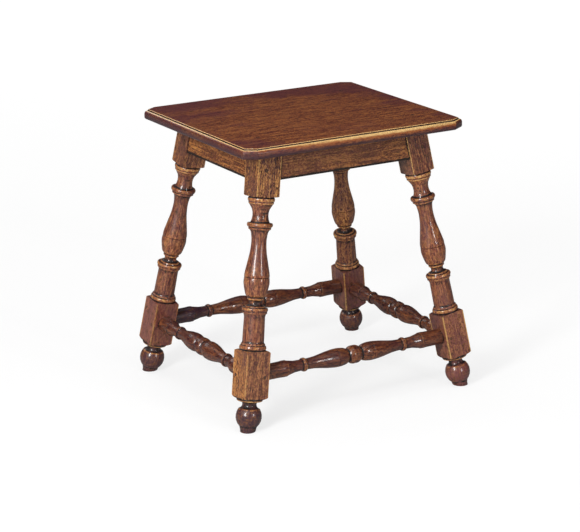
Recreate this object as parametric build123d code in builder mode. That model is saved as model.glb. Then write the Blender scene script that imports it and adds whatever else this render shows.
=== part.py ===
"""Joint stool: a moulded seat on four splayed, turned legs, joined by aprons and turned stretchers."""
from build123d import *
from math import radians, tan
import os

os.makedirs("parts", exist_ok=True)

# Driving dimensions in millimetres and degrees. X runs along the seat, Y across it and Z up.
# The origin is on the floor, under the middle of the seat.
stool_height = 540.0
seat_length = 482.0
seat_width = 420.0
seat_thickness = 20.0

foot_spacing_x = 484.0
foot_spacing_y = 402.0
splay_x = 9.0
splay_y = 7.5
upper_block = 48.5
lower_block = 50.0

apron_depth = 57.5
apron_thickness = 20.0
apron_recess = 2.0

# The stretchers sit at slightly different heights, as the hand-marked mortises left them.
front_stretcher_height = 103.0
back_stretcher_height = 106.5
left_stretcher_height = 105.0
right_stretcher_height = 101.0

# Seat edge: a sunk step, a wide ovolo under it and a small round at the bottom, with cut corners.
corner_cut_x = 24.0
corner_cut_y = 15.0
corner_softening = 5.0
step_inset = 6.5
step_height = 2.5
ovolo_radius = 5.5
bottom_round = 4.5

# Joinery: flat tenons on the aprons, round tenons on the stretchers, and the pegs that hold them.
tenon_thickness = 8.0
tenon_inset = 6.0
tenon_bottom_shoulder = 6.0
tenon_top_shoulder = 18.0
long_tenon = 38.0
short_tenon = 28.0
round_tenon_diameter = 18.0
round_tenon_length = 15.5
peg_proud = 0.4
apron_peg_diameter = 7.0
apron_peg_depth = 19.5
apron_peg_height = 484.0
stretcher_peg_diameter = 6.0
stretcher_peg_depth = 37.0
stretcher_peg_setback = 10.0
seat_peg_diameter = 9.0
seat_peg_depth = 16.0
seat_peg_x = 171.0
seat_peg_y = 129.0

# Derived sizes.
lean_x = tan(radians(splay_x))
lean_y = tan(radians(splay_y))
foot_x = foot_spacing_x / 2
foot_y = foot_spacing_y / 2
frame_height = stool_height - seat_thickness
apron_bottom = frame_height - apron_depth
stock_change_height = 300.0
beyond = 600.0

# Turned shape of a leg, from the foot up. Every point is (radius, distance along the leg). A cut
# with one point is straight, with two it is an arc through the first, with more a smooth curve.
block_clearance = 38.0
lower_block_top = 153.2
upper_block_bottom = 440.4
trim = 12.0
foot_cuts = [
    [(14.6, 1.5)],
    [(16.4, 8.5)],
    [(24.6, 27.5), (20.2, 42.4)],
    [(18.9, 43.2)],
    [(13.4, 50.5), (15.6, 56.4)],
    [(22.2, 57.0)],
    [(24.8, 59.6), (24.2, 62.2)],
    [(32.0, 63.6), (block_clearance, 69.0)],
]
column_cuts = [
    [(block_clearance, 150.0)],
    [(31.0, 152.4), (24.2, lower_block_top)],
    [(24.2, 154.0)],
    [(25.5, 157.8), (24.6, 161.6)],
    [(23.0, 162.6)],
    [(22.8, 165.2)],
    [(20.9, 167.6), (20.5, 171.5)],
    [(20.2, 192.0), (19.7, 215.5)],
    [(20.4, 219.4), (22.0, 222.6)],
    [(23.1, 223.2)],
    [(23.1, 226.6)],
    [(24.6, 229.8), (23.7, 232.8)],
    [(19.6, 233.4)],
    [(18.6, 236.0)],
]
vase_cuts = [
    [(11.9, 241.5), (15.4, 248.8)],
    [(15.4, 252.0)],
    [(16.4, 253.6)],
    [(20.0, 258.6), (24.2, 277.5), (23.4, 297.5), (19.7, 316.5), (15.8, 336.5), (14.2, 357.0),
     (15.7, 372.0), (18.2, 378.0)],
    [(21.2, 380.0)],
    [(21.4, 383.8)],
]
neck_cuts = [
    [(23.0, 384.6)],
    [(24.3, 388.2), (23.2, 391.4)],
    [(18.2, 392.2)],
    [(14.9, 404.0), (16.6, 417.0)],
    [(19.0, 421.2), (22.4, 426.6)],
    [(23.8, 428.0)],
    [(23.8, 431.0)],
    [(25.4, 435.2), (24.0, 439.4)],
    [(23.2, upper_block_bottom)],
    [(31.0, 441.0), (block_clearance, 443.0)],
]
leg_line_height = 290.0
leg_line_radius = 23.8

# Turned shape of half a stretcher, from its middle out. Every point is (distance, radius).
middle_bead = (0.0, 17.4)
stretcher_cuts = [
    [(9.6, 15.9), (13.6, 12.4)],
    [(15.4, 12.8)],
    [(21.0, 16.0), (32.0, 17.9), (45.0, 17.8), (61.0, 16.0), (75.0, 13.6), (90.0, 11.4), (107.6, 10.6)],
    [(108.2, 12.2)],
    [(112.0, 13.4), (115.8, 12.2)],
    [(116.4, 10.6)],
    [(135.0, 11.5), (149.6, 14.6)],
    [(150.6, 14.6)],
    [(151.4, 15.7)],
    [(157.0, 15.9), (165.0, 15.4)],
    [(215.0, 12.8)],
]
stretcher_line_distance = 39.5
stretcher_line_radius = 18.0
line_width = 1.0


class Side:
    """One side of the stool, between two legs. The front has angle 0, the right side 90."""

    def __init__(self, name, angle, stretcher_height):
        is_long = angle % 180 == 0
        foot_along, foot_out = (foot_x, foot_y) if is_long else (foot_y, foot_x)
        lean_along, lean_out = (lean_x, lean_y) if is_long else (lean_y, lean_x)
        self.name = name
        self.is_long = is_long
        self.stretcher_height = stretcher_height
        self.along = Vector(1, 0, 0).rotate(Axis.Z, angle)
        self.outward = Vector(0, -1, 0).rotate(Axis.Z, angle)
        self.foot_along = foot_along
        self.lean_along = lean_along
        self.foot_out = foot_out
        self.lean_out = lean_out

    def leg_along(self, height):
        """Distance of the leg's centre line from the middle of this side."""
        return self.foot_along - self.lean_along * height

    def leg_out(self, height):
        """Distance of the leg's centre line out from the middle of the stool."""
        return self.foot_out - self.lean_out * height

    def front_view(self):
        return Plane((0, 0, 0), x_dir=self.along, z_dir=self.outward)

    def end_view(self):
        return Plane((0, 0, 0), x_dir=self.outward, z_dir=-self.along)


def keep_between_legs(side, block, past_face, bottom, top):
    """Trims the open part to the space between two blocks, whose inner faces lean with the legs."""
    half_at_bottom = side.leg_along(bottom) - block / 2 + past_face
    half_at_top = side.leg_along(top) - block / 2 + past_face
    with BuildSketch(side.front_view()) as outline:
        with BuildLine():
            Polyline(
                (-half_at_bottom, bottom),
                (half_at_bottom, bottom),
                (half_at_top, top),
                (-half_at_top, top),
                close=True,
            )
        make_face()
    extrude(outline.sketch, amount=beyond, both=True, mode=Mode.INTERSECT)


def leaning_board(side, face, thickness, bottom, top, past_face):
    """Board whose faces lean with the legs; face is its outer face, out from their centre line."""
    with BuildPart() as board:
        with BuildSketch(side.end_view()):
            with BuildLine():
                Polyline(
                    (side.leg_out(bottom) + face, bottom),
                    (side.leg_out(top) + face, top),
                    (side.leg_out(top) + face - thickness, top),
                    (side.leg_out(bottom) + face - thickness, bottom),
                    close=True,
                )
            make_face()
        extrude(amount=beyond, both=True)
        keep_between_legs(side, upper_block, past_face, bottom, top)
    return board.part


def turned_cuts(start, cuts):
    """Draws the cuts one after the other in the open line and gives the last point."""
    here = start
    for cut in cuts:
        if len(cut) == 1:
            Line(here, cut[0])
        elif len(cut) == 2:
            ThreePointArc(here, cut[0], cut[1])
        else:
            Spline(here, *cut)
        here = cut[-1]
    return here


def cut_line(plane, centre, axis):
    """Cuts a fine V line round the turned part; centre is on its surface, in the plane."""
    with BuildSketch(plane) as groove:
        with Locations(centre):
            Rectangle(line_width, line_width, rotation=45)
    revolve(groove.sketch, axis=axis, mode=Mode.SUBTRACT)


def outer_peg(side, along, block, height, diameter, depth):
    """Peg driven square into the outer face of a block, from just proud of that face."""
    face_normal = (side.outward + Vector(0, 0, side.lean_out)).normalized()
    centre = side.along * along + side.outward * (side.leg_out(height) + block / 2)
    head = centre + Vector(0, 0, height) + face_normal * peg_proud
    with BuildSketch(Plane(head, x_dir=side.along, z_dir=face_normal)) as end:
        Circle(diameter / 2)
    extrude(end.sketch, amount=-depth - peg_proud)


def leg(name, side_x, side_y, joints):
    """One leg: the squared stock, turned between its two blocks and cut for its joints."""
    foot = Vector(side_x * foot_x, side_y * foot_y, 0)
    slope = Vector(-side_x * lean_x, -side_y * lean_y, 1)
    up = slope.normalized()
    across = Vector(0, 1, 0).cross(up).normalized()
    turning_plane = Plane(foot, x_dir=across, z_dir=across.cross(up))
    turning_axis = Axis(foot, up)
    leg_length = frame_height * slope.length
    with BuildPart() as stock:
        with BuildSketch():
            with Locations((foot.X, foot.Y)):
                Rectangle(lower_block, lower_block)
        extrude(amount=stock_change_height * slope.length, dir=up)
        change = foot + slope * stock_change_height
        with BuildSketch(Plane.XY.offset(stock_change_height)):
            with Locations((change.X, change.Y)):
                Rectangle(upper_block, upper_block)
        extrude(amount=(frame_height - stock_change_height) * slope.length, dir=up)
        with BuildSketch(Plane(foot, z_dir=up).offset(lower_block_top)):
            Circle(block_clearance)
        extrude(amount=upper_block_bottom - lower_block_top)
    with BuildPart() as turned_leg:
        with BuildSketch(turning_plane):
            with BuildLine():
                Line((0, -trim), (foot_cuts[0][0][0], -trim))
                last = turned_cuts(
                    (foot_cuts[0][0][0], -trim), foot_cuts + column_cuts + vase_cuts + neck_cuts
                )
                Polyline(last, (last[0], leg_length + trim), (0, leg_length + trim), (0, -trim))
            make_face()
        revolve(axis=turning_axis)
        cut_line(turning_plane, (leg_line_radius, leg_line_height), turning_axis)
        add(stock.part, mode=Mode.INTERSECT)
        for joint in joints:
            add(joint, mode=Mode.SUBTRACT)
    turned_leg.part.label = name
    export_step(turned_leg.part, f"parts/{name}.step")


def stretcher_plane(side):
    """Plane through a stretcher's centre line, seen from outside the stool."""
    height = side.stretcher_height
    middle = side.outward * side.leg_out(height) + Vector(0, 0, height)
    return Plane(middle, x_dir=side.along, z_dir=side.outward)


def stretcher_core(side):
    """Round bar from the end of one tenon to the end of the other."""
    half_length = side.leg_along(side.stretcher_height) - lower_block / 2 + round_tenon_length
    middle = stretcher_plane(side).origin
    with BuildPart() as core:
        with BuildSketch(Plane(middle, x_dir=side.outward, z_dir=side.along)):
            Circle(round_tenon_diameter / 2)
        extrude(amount=half_length, both=True)
    return core.part


def stretcher(side, core, pegs, stretch):
    """Turned stretcher with round tenons; stretch spaces the same turning along its length."""
    plane = stretcher_plane(side)
    turning_axis = Axis(plane.origin, side.along)
    block_half = lower_block / 2
    with BuildPart() as rail:
        with BuildSketch(plane):
            with BuildLine():
                cuts = [[(stretch * x, radius) for x, radius in cut] for cut in stretcher_cuts]
                last = turned_cuts(middle_bead, cuts)
                Polyline(last, (last[0], 0), (0, 0), middle_bead)
            make_face()
            mirror(about=Plane.YZ)
        revolve(axis=turning_axis)
        for place in (-stretcher_line_distance, stretcher_line_distance):
            cut_line(plane, (stretch * place, stretcher_line_radius), turning_axis)
        bottom = side.stretcher_height - block_half
        top = side.stretcher_height + block_half
        keep_between_legs(side, lower_block, 0, bottom, top)
        add(core)
        add(pegs, mode=Mode.SUBTRACT)
    rail.part.label = f"stretcher_{side.name}"
    export_step(rail.part, f"parts/stretcher_{side.name}.step")


def apron_tongue(side, tenon):
    """Thin board with the tenons at its ends, which runs inside the apron."""
    face = upper_block / 2 - apron_recess - tenon_inset
    bottom = apron_bottom + tenon_bottom_shoulder
    top = frame_height - tenon_top_shoulder
    return leaning_board(side, face, tenon_thickness, bottom, top, tenon)


def apron(side, tongue, pegs):
    """Plain apron between two upper blocks, set back a little from their outer faces."""
    face = upper_block / 2 - apron_recess
    with BuildPart() as board:
        add(leaning_board(side, face, apron_thickness, apron_bottom, frame_height, 0))
        add(tongue)
        add(pegs, mode=Mode.SUBTRACT)
    board.part.label = f"apron_{side.name}"
    export_step(board.part, f"parts/apron_{side.name}.step")


sides = [
    Side("front", 0, front_stretcher_height),
    Side("right", 90, right_stretcher_height),
    Side("back", 180, back_stretcher_height),
    Side("left", 270, left_stretcher_height),
]

# Pegs through the apron tenons: near the outer corner on the long sides, where the tenon runs
# past the middle of the block, and near the shoulder on the short sides.
long_peg_offset = 7.0
short_peg_offset = -10.0
with BuildPart() as apron_pegs:
    for side in sides:
        from_centre = long_peg_offset if side.is_long else short_peg_offset
        place = side.leg_along(apron_peg_height) + from_centre
        for along in (-place, place):
            outer_peg(side, along, upper_block, apron_peg_height, apron_peg_diameter, apron_peg_depth)
apron_pegs.part.label = "apron_pegs"
export_step(apron_pegs.part, "parts/apron_pegs.step")

# Pegs through the round tenons of the stretchers.
with BuildPart() as stretcher_pegs:
    for side in sides:
        height = side.stretcher_height
        place = side.leg_along(height) - lower_block / 2 + stretcher_peg_setback
        for along in (-place, place):
            outer_peg(side, along, lower_block, height, stretcher_peg_diameter, stretcher_peg_depth)
stretcher_pegs.part.label = "stretcher_pegs"
export_step(stretcher_pegs.part, "parts/stretcher_pegs.step")

# Pegs down through the seat into the tops of the legs, flush with the seat.
with BuildPart() as seat_pegs:
    with BuildSketch(Plane.XY.offset(frame_height - seat_peg_depth)):
        with GridLocations(2 * seat_peg_x, 2 * seat_peg_y, 2, 2):
            Circle(seat_peg_diameter / 2)
    extrude(amount=seat_thickness + seat_peg_depth)
seat_pegs.part.label = "seat_pegs"
export_step(seat_pegs.part, "parts/seat_pegs.step")

# Seat board: the moulded lower part and the slightly smaller raised field on top of it.
with BuildPart() as seat_top:
    with BuildSketch(Plane.XY.offset(frame_height)) as board_outline:
        Rectangle(seat_length, seat_width)
        chamfer(board_outline.vertices(), length=corner_cut_x, length2=corner_cut_y)
    extrude(amount=seat_thickness - step_height)
    fillet(seat_top.edges().filter_by(Axis.Z), radius=corner_softening)
    fillet(seat_top.faces().sort_by(Axis.Z)[-1].edges(), radius=ovolo_radius)
    fillet(seat_top.faces().sort_by(Axis.Z)[0].edges(), radius=bottom_round)
    with BuildSketch(Plane.XY.offset(stool_height - step_height)) as field_outline:
        Rectangle(seat_length, seat_width)
        chamfer(field_outline.vertices(), length=corner_cut_x, length2=corner_cut_y)
        fillet(field_outline.vertices(), radius=corner_softening)
        offset(amount=-step_inset, mode=Mode.REPLACE)
    extrude(amount=step_height)
    add(seat_pegs.part, mode=Mode.SUBTRACT)
seat_top.part.label = "seat_top"
export_step(seat_top.part, "parts/seat_top.step")

# Aprons and stretchers, and the joints that they need in the legs.
joints = [seat_pegs.part, apron_pegs.part, stretcher_pegs.part]
long_stretch = 1.0
short_stretch = 0.84
for side in sides:
    tongue = apron_tongue(side, long_tenon if side.is_long else short_tenon)
    core = stretcher_core(side)
    apron(side, tongue, apron_pegs.part)
    stretcher(side, core, stretcher_pegs.part, long_stretch if side.is_long else short_stretch)
    joints += [tongue, core]

# Legs.
leg("leg_front_left", -1, -1, joints)
leg("leg_front_right", 1, -1, joints)
leg("leg_back_left", -1, 1, joints)
leg("leg_back_right", 1, 1, joints)
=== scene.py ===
"""Joint stool: the finished pieces of an old turned and pegged stool, laid over its frame."""
import logging
import math
from collections.abc import Callable, Sequence
from dataclasses import asdict, dataclass, field, replace
from enum import Enum
from functools import partial

import bmesh
import bpy
from mathutils import Matrix, Vector


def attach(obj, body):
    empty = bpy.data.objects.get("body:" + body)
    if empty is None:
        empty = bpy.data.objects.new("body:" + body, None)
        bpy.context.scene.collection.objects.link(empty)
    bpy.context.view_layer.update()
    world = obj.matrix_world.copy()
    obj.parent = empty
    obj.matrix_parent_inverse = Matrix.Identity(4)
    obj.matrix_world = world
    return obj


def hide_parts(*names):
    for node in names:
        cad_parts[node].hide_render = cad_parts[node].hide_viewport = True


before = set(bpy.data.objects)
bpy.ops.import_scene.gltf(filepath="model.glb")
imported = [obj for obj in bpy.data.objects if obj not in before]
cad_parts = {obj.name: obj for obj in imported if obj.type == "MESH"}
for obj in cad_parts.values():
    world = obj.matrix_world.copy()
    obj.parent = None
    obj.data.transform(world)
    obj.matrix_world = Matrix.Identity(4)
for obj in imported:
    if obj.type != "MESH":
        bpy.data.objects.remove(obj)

MM = 0.001
LOG = logging.getLogger("joint_stool")
# How far off a point may be, in millimetres, or a direction, as a cosine, and still count as on it.
SLACK = 0.1
ALIGNED = 0.99

Point = tuple[float, float]
Cut = list[Point]
Piece = bpy.types.Object
Face, Edge = bmesh.types.BMFace, bmesh.types.BMEdge
Tree, Socket, Finish = bpy.types.NodeTree, bpy.types.NodeSocket, bpy.types.Material


class Place(Enum):
    """Where a leg stands, as the signs of its X and Y."""

    FRONT_LEFT = (-1, -1)
    FRONT_RIGHT = (1, -1)
    BACK_LEFT = (-1, 1)
    BACK_RIGHT = (1, 1)


class Side(Enum):
    """A side of the stool, as the degrees from the front, anticlockwise seen from above."""

    FRONT = 0
    RIGHT = 90
    BACK = 180
    LEFT = 270

    @property
    def is_long(self) -> bool:
        """Whether the side runs along X."""
        return self in (Side.FRONT, Side.BACK)

    @property
    def turned(self) -> Matrix:
        """The rotation that brings the front to this side."""
        return Matrix.Rotation(math.radians(self.value), 3, "Z")

    @property
    def along(self) -> Vector:
        """Unit vector along the side, to the right for someone who faces it."""
        return self.turned @ Vector((1, 0, 0))

    @property
    def outward(self) -> Vector:
        """Unit vector out of the side, level."""
        return self.turned @ Vector((0, -1, 0))


@dataclass(frozen=True)
class StoolPlan:
    """The driving sizes of the stool, in millimetres and degrees."""

    height: float = 540.0
    seat_thickness: float = 20.0
    foot_x: float = 242.0
    foot_y: float = 201.0
    splay_x: float = 9.0
    splay_y: float = 7.5
    upper_block: float = 48.5
    lower_block: float = 50.0
    apron_depth: float = 57.5

    @property
    def frame_height(self) -> float:
        """Height of the leg tops, where the seat lies."""
        return self.height - self.seat_thickness

    @property
    def lean_x(self) -> float:
        """How far a leg moves inwards along X for each millimetre up."""
        return math.tan(math.radians(self.splay_x))

    @property
    def lean_y(self) -> float:
        """How far a leg moves inwards along Y for each millimetre up."""
        return math.tan(math.radians(self.splay_y))

    @property
    def leg_length(self) -> float:
        """Length of a leg along its own line."""
        return self.frame_height * Vector((self.lean_x, self.lean_y, 1)).length

    def leg_along(self, side: Side, height: float) -> float:
        """Distance of a leg's centre line from the middle of a side."""
        return self.foot_x - self.lean_x * height if side.is_long else self.foot_y - self.lean_y * height

    def leg_out(self, side: Side, height: float) -> float:
        """Distance of a leg's centre line out from the middle of the stool."""
        return self.foot_y - self.lean_y * height if side.is_long else self.foot_x - self.lean_x * height


PLAN = StoolPlan()


# Outlines and tables


def arc_points(start: Point, through: Point, end: Point, largest_turn: float = 14.0) -> list[Point]:
    """Points along the arc through three points.

    Args:
        start: Where the arc starts; it isn't repeated in the result.
        through: A point on the arc.
        end: Where the arc ends.
        largest_turn: The largest turn from one point to the next, in degrees.

    Returns:
        The points after the start, in order.
    """
    (ax, ay), (bx, by), (cx, cy) = start, through, end
    d = 2 * (ax * (by - cy) + bx * (cy - ay) + cx * (ay - by))
    a2, b2, c2 = ax * ax + ay * ay, bx * bx + by * by, cx * cx + cy * cy
    ux = (a2 * (by - cy) + b2 * (cy - ay) + c2 * (ay - by)) / d
    uy = (a2 * (cx - bx) + b2 * (ax - cx) + c2 * (bx - ax)) / d
    radius = math.hypot(ax - ux, ay - uy)
    first, middle, last = (math.atan2(y - uy, x - ux) for x, y in (start, through, end))
    middle, last = (middle - first) % math.tau, (last - first) % math.tau
    swept = last if middle < last else last - math.tau
    steps = max(2, math.ceil(abs(math.degrees(swept)) / largest_turn))
    angles = [first + swept * i / steps for i in range(1, steps + 1)]
    return [(ux + radius * math.cos(t), uy + radius * math.sin(t)) for t in angles]


def smooth_points(points: list[Point], pieces: int = 6) -> list[Point]:
    """Points along a smooth curve through all the given ones.

    Args:
        points: The points to pass through, the first one included.
        pieces: How many points each span gets.

    Returns:
        The points after the first one, in order.
    """

    def at(a: float, b: float, c: float, d: float, t: float) -> float:
        """One coordinate of the curve, a share t of the way from b to c."""
        square, cube = 2 * a - 5 * b + 4 * c - d, 3 * b - a - 3 * c + d
        return 0.5 * (2 * b + (c - a) * t + square * t**2 + cube * t**3)

    ends = [points[0]] + points + [points[-1]]
    return [
        tuple(at(*coordinates, i / pieces) for coordinates in zip(*near))
        for near in zip(ends, ends[1:], ends[2:], ends[3:])
        for i in range(1, pieces + 1)
    ]


def outline(start: Point, cuts: list[Cut]) -> list[Point]:
    """The turned outline as points.

    Args:
        start: The first point.
        cuts: A cut of one point is straight, of two an arc through the first, of more a smooth curve.

    Returns:
        All points of the outline.
    """
    points = [start]
    for cut in cuts:
        if len(cut) == 1:
            points.append(cut[0])
        elif len(cut) == 2:
            points += arc_points(points[-1], *cut)
        else:
            points += smooth_points([points[-1], *cut])
    return points


def relief_along(
    points: list[Point], reach: float = 3.0, full: float = 0.9, samples: int = 9
) -> Callable[[float, float], float]:
    """How far a place on a turned piece stands out from its surroundings.

    Args:
        points: The outline as (radius, distance along), in millimetres.
        reach: How far the surroundings reach each way, in millimetres.
        full: The difference in radius that counts as fully in or out, in millimetres.
        samples: How many places make up the surroundings.

    Returns:
        A function of radius and distance that gives -1 deep in a quirk to 1 on a crest.
    """
    mean_radius: dict[float, float] = {}

    def radius_at(place: float) -> float:
        """Reads the outline.

        Args:
            place: A distance along it.

        Returns:
            The radius there.
        """
        for (r0, s0), (r1, s1) in zip(points, points[1:]):
            if s0 <= place <= s1:
                return r1 if s1 == s0 else r0 + (r1 - r0) * (place - s0) / (s1 - s0)
        return points[-1][0] if place > points[-1][1] else points[0][0]

    def relief(radius: float, place: float) -> float:
        """Compares a radius with the mean one of its surroundings.

        Args:
            radius: The radius.
            place: The distance along the outline.

        Returns:
            The relief, from -1 to 1.
        """
        key = round(place, 2)
        if key not in mean_radius:
            places = [place + reach * (2 * i / (samples - 1) - 1) for i in range(samples)]
            mean_radius[key] = sum(radius_at(p) for p in places) / samples
        return max(-1.0, min(1.0, (radius - mean_radius[key]) / full))

    return relief


def between(table: tuple[Point, ...], place: float) -> float:
    """Reads a table at a place, straight between its entries and even beyond its ends.

    Args:
        table: The entries as (place, value), in order.
        place: Where to read it.

    Returns:
        The value.
    """
    if place <= table[0][0]:
        return table[0][1]
    for (start, low), (end, high) in zip(table, table[1:]):
        if place <= end:
            return low + (high - low) * (place - start) / (end - start)
    return table[-1][1]


# Work at the bench


def hold(*pieces: Piece) -> None:
    """Goes back to object mode and selects only the given pieces.

    Args:
        pieces: The pieces; the first one becomes the active one.
    """
    if bpy.context.mode != "OBJECT":
        bpy.ops.object.mode_set(mode="OBJECT")
    bpy.ops.object.select_all(action="DESELECT")
    for piece in pieces:
        piece.select_set(True)
    if pieces:
        bpy.context.view_layer.objects.active = pieces[0]


def put(name: str, data: bpy.types.ID) -> Piece:
    """Adds an object to the scene.

    Args:
        name: Its name.
        data: Its mesh, light or camera.

    Returns:
        The object.
    """
    piece = bpy.data.objects.new(name, data)
    bpy.context.scene.collection.objects.link(piece)
    return piece


def pick_all() -> None:
    """Selects the whole mesh that is being edited."""
    bpy.ops.mesh.select_all(action="SELECT")


def pick(
    piece: Piece, faces: Callable[[Face], bool] | None = None, edges: Callable[[Edge], bool] | None = None
) -> int:
    """Selects the faces or edges that pass a test, and nothing else, in edit mode.

    Args:
        piece: The object being edited.
        faces: The test for faces.
        edges: The test for edges.

    Returns:
        How many were selected.
    """
    bpy.ops.mesh.select_mode(type="FACE" if faces else "EDGE")
    bpy.ops.mesh.select_all(action="DESELECT")
    mesh = bmesh.from_edit_mesh(piece.data)
    chosen = [f for f in mesh.faces if faces(f)] if faces else [e for e in mesh.edges if edges(e)]
    for item in chosen:
        item.select_set(True)
    bmesh.update_edit_mesh(piece.data)
    return len(chosen)


def start_piece(name: str, size: float, add: Callable = bpy.ops.mesh.primitive_plane_add) -> Piece:
    """Adds the primitive that a piece is made from.

    Args:
        name: The piece's name.
        size: The primitive's size in metres.
        add: The operator that adds it.

    Returns:
        The object, in edit mode and selected all over.
    """
    hold()
    add(size=size)
    piece = bpy.context.object
    piece.name = piece.data.name = name
    bpy.ops.object.mode_set(mode="EDIT")
    pick_all()
    return piece


def cut_away(place: Vector, outward: Vector) -> None:
    """Saws off what is selected past a plane and closes the cut.

    Args:
        place: A point of the plane.
        outward: The direction of the waste.
    """
    bpy.ops.mesh.bisect(
        plane_co=place, plane_no=outward, use_fill=True, clear_inner=False, clear_outer=True, threshold=1e-7
    )


def turn(name: str, points: list[Point], steps: int, longest_run: float = 3.0, weld: float = 0.01) -> Piece:
    """Turns a piece round Z, as on a lathe.

    Args:
        name: The object's name.
        points: The outline as (radius, distance along Z) in millimetres; both ends lie on the axis.
        steps: How many faces go round.
        longest_run: The longest face along the outline, in millimetres.
        weld: Points that are nearer than this are made one, in millimetres.

    Returns:
        The object, in object mode, with its axis along Z.
    """
    piece = start_piece(name, 2 * MM)
    bpy.ops.mesh.select_mode(type="VERT")
    pick_all()
    bpy.ops.mesh.merge(type="CENTER")
    places = [Vector((r, 0, s)) * MM for r, s in points]
    bpy.ops.transform.translate(value=places[0])
    for here, there in zip(places, places[1:]):
        bpy.ops.mesh.extrude_region_move(TRANSFORM_OT_translate={"value": there - here})
    while pick(piece, edges=lambda edge: edge.calc_length() > longest_run * MM):
        bpy.ops.mesh.subdivide(number_cuts=1)
    pick_all()
    bpy.ops.mesh.spin(steps=steps, angle=math.tau, center=(0, 0, 0), axis=(0, 0, 1))
    pick_all()
    bpy.ops.mesh.remove_doubles(threshold=weld * MM)
    bpy.ops.mesh.normals_make_consistent(inside=False)
    hold()
    return piece


def settle(piece: Piece, placement: Matrix) -> None:
    """Moves a piece to its place in the stool and leaves its object at the origin.

    Args:
        piece: The object to move.
        placement: Where it goes, in metres.
    """
    hold(piece)
    piece.matrix_world = placement
    bpy.ops.object.transform_apply(location=True, rotation=True, scale=True)


def smooth(piece: Piece, degrees: float = 30.0) -> None:
    """Shades a piece smooth, with the corners kept that turn more than so many degrees."""
    hold(piece)
    bpy.ops.object.shade_smooth_by_angle(angle=math.radians(degrees))


@dataclass(frozen=True)
class Age:
    """What the years have done to a place on the surface, with the light and shade painted on it.

    The relief goes from -1 deep in a quirk to 1 on a rubbed crest; its black quirks are partly painted
    shade, and its light lines on the seat's moulding partly painted highlights. The others go from 0 to
    1: dried out, never polished, darkened towards purple-black, reddened by old dye, and rubbed along the
    arrises of a square. The darkening is painted shade at one end of the back stretcher; on the feet,
    the seat's side and some faces of the squares it only makes them darker.
    """

    relief: float = 0.0
    dry: float = 0.0
    raw: float = 0.0
    black: float = 0.0
    dye: float = 0.0
    arris: float = 0.0


def mark(
    piece: Piece, board: float, stock_place: Callable[[Vector], Vector], age: Callable[[Vector], Age]
) -> None:
    """Writes the attributes that the wood finish reads.

    Args:
        piece: The finished object.
        board: A number of its own for each piece of wood, so that no two show the same grain.
        stock_place: Turns a point in millimetres into its place in the board, with Z along the grain.
        age: Tells the age of the surface, with the light and shade painted on it, at a point in millimetres.
    """
    mesh = piece.data
    points = [vertex.co / MM for vertex in mesh.vertices]
    stock = mesh.attributes.new("stock", "FLOAT_VECTOR", "POINT")
    stock.data.foreach_set("vector", [value for point in points for value in stock_place(point)])
    ages = [asdict(age(point)) for point in points]
    columns = {key: [entry[key] for entry in ages] for key in ages[0]} | {"board": [board] * len(points)}
    for name, numbers in columns.items():
        mesh.attributes.new(name, "FLOAT", "POINT").data.foreach_set("value", numbers)


def dress(piece: Piece, node: str, finish: Finish) -> None:
    """Gives a piece its finish, its body and the place of a CAD node, and reports it.

    Args:
        piece: The finished object.
        node: The CAD node that it stands for.
        finish: The finish.
    """
    piece.data.materials.append(finish)
    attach(piece, "root")
    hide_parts(node)
    LOG.info("%s: %d faces", piece.name, len(piece.data.polygons))


# Finishes

GENTLE = {"interpolation_type": "SMOOTHSTEP"}
MOST_OF_A_FIGURE = (0.3, 0.7)


def linear(hex_colour: str) -> tuple[float, float, float, float]:
    """Turns an sRGB hex colour into the linear values that a shader takes.

    Args:
        hex_colour: Two hex digits each of red, green and blue.

    Returns:
        The linear colour, opaque.
    """
    channels = [int(hex_colour[i : i + 2], 16) / 255 for i in (0, 2, 4)]
    values = [c / 12.92 if c <= 0.04045 else ((c + 0.055) / 1.055) ** 2.4 for c in channels]
    return (*values, 1.0)


def empty_tree(owner: Finish | bpy.types.World) -> Tree:
    """Clears the nodes of a new material or world.

    Args:
        owner: The material or world.

    Returns:
        Its node tree.
    """
    owner.use_nodes = True
    owner.node_tree.nodes.clear()
    return owner.node_tree


def add_node(
    tree: Tree,
    kind: str,
    inputs: Sequence | dict[str | int, object] = (),
    out: str | int = 0,
    **settings: object,
) -> Socket | None:
    """Adds a node with its settings and links.

    Args:
        tree: The node tree.
        kind: The node's type, without its leading ShaderNode.
        inputs: What each input gets, a socket to link or a value, in order or by name or number.
        out: The wanted output, by name or number.
        settings: The node's own settings.

    Returns:
        That output, or nothing for a node that has none.
    """
    node = tree.nodes.new("ShaderNode" + kind)
    for key, value in settings.items():
        setattr(node, key, value)
    for key, value in inputs.items() if isinstance(inputs, dict) else enumerate(inputs):
        if isinstance(value, Socket):
            tree.links.new(value, node.inputs[key])
        else:
            node.inputs[key].default_value = value
    return node.outputs[out] if node.outputs else None


@dataclass(frozen=True)
class Figure:
    """A pattern in the wood: the real width and length of its features in millimetres, and its detail."""

    width: float
    length: float
    detail: float

    def draw(self, tree: Tree, place: Socket, out: str = "Fac") -> Socket:
        """Draws the pattern.

        Args:
            tree: The finish's node tree.
            place: The place in the board, in millimetres.
            out: Fac for one pattern, or Color for three at once.

        Returns:
            The pattern, from 0 to 1.
        """
        size = (1 / self.width, 1 / self.width, 1 / self.length)
        scaled = add_node(tree, "VectorMath", (place, size), operation="MULTIPLY")
        inputs = {"Vector": scaled, "Scale": 1.0, "Detail": self.detail, "Roughness": 0.6}
        return add_node(tree, "TexNoise", inputs, out)


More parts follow.
